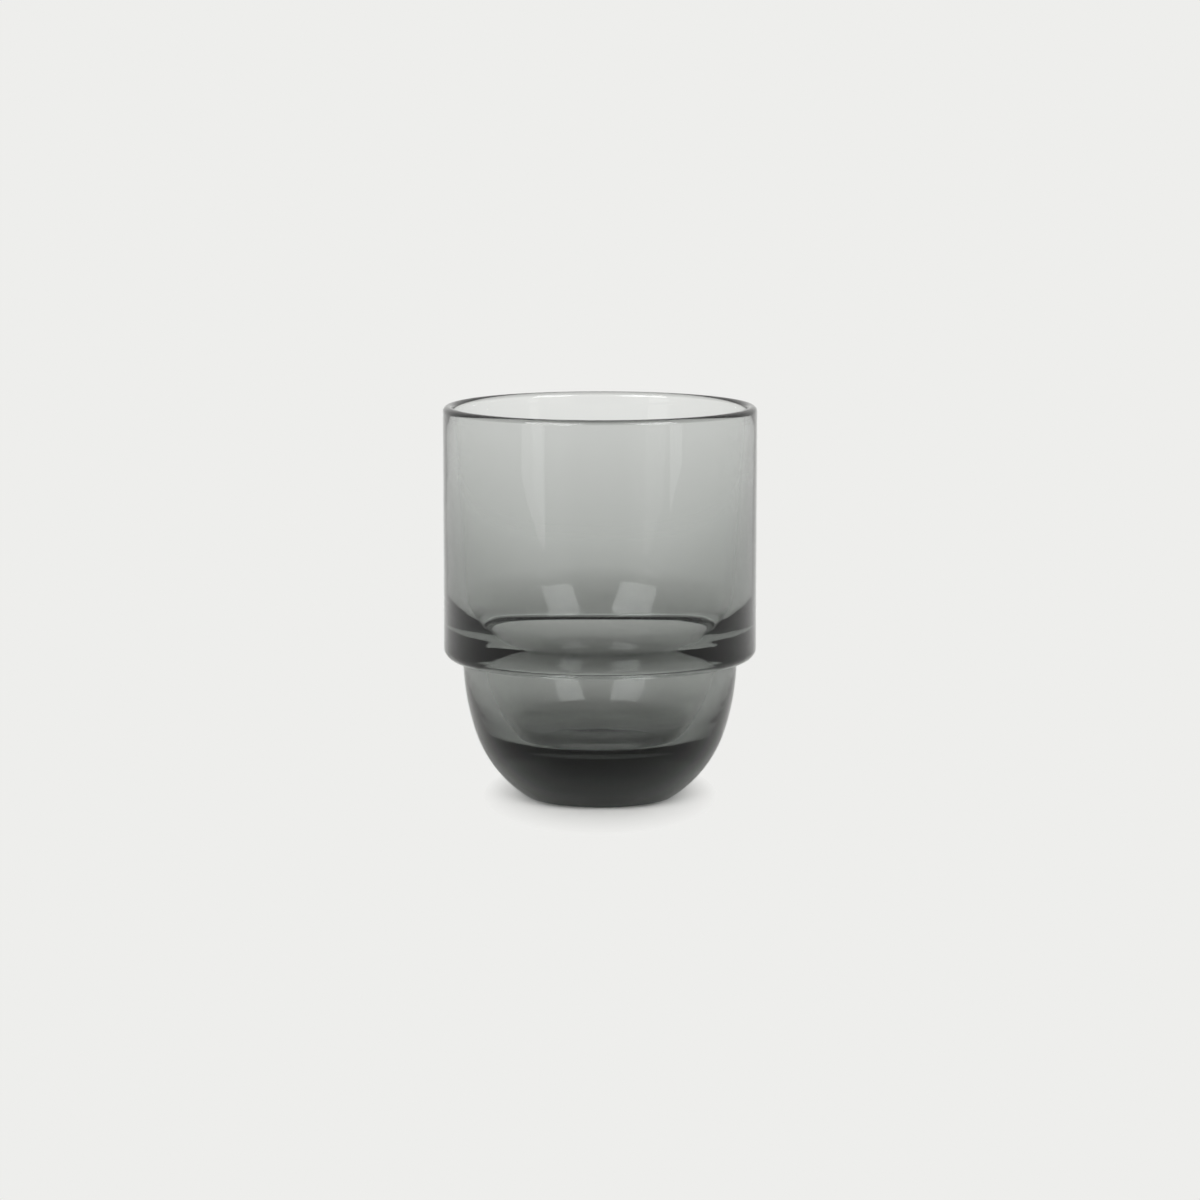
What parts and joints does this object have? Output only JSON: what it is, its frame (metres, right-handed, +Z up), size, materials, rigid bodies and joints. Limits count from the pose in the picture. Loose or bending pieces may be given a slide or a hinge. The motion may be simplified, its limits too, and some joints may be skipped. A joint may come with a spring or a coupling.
{
  "type": "cortado glass",
  "caption": "Stackable thick-walled tumbler of smoke-grey pressed glass: straight upper wall, rounded shoulder, narrower foot bowl with a heavy solid base, for short coffee drinks.",
  "frame": {"origin": "middle of the base's rest face, on the table plane", "axes": "+Z up along the tumbler's axis, from the base to the rim; X and Y are free, since the tumbler is round"},
  "size_m": [0.064, 0.064, 0.0802],
  "materials": {
    "glass": "fire-polished, clear smoke grey"
  },
  "bodies": {
    "root": {"glass": "glass"}
  },
  "joints": []
}
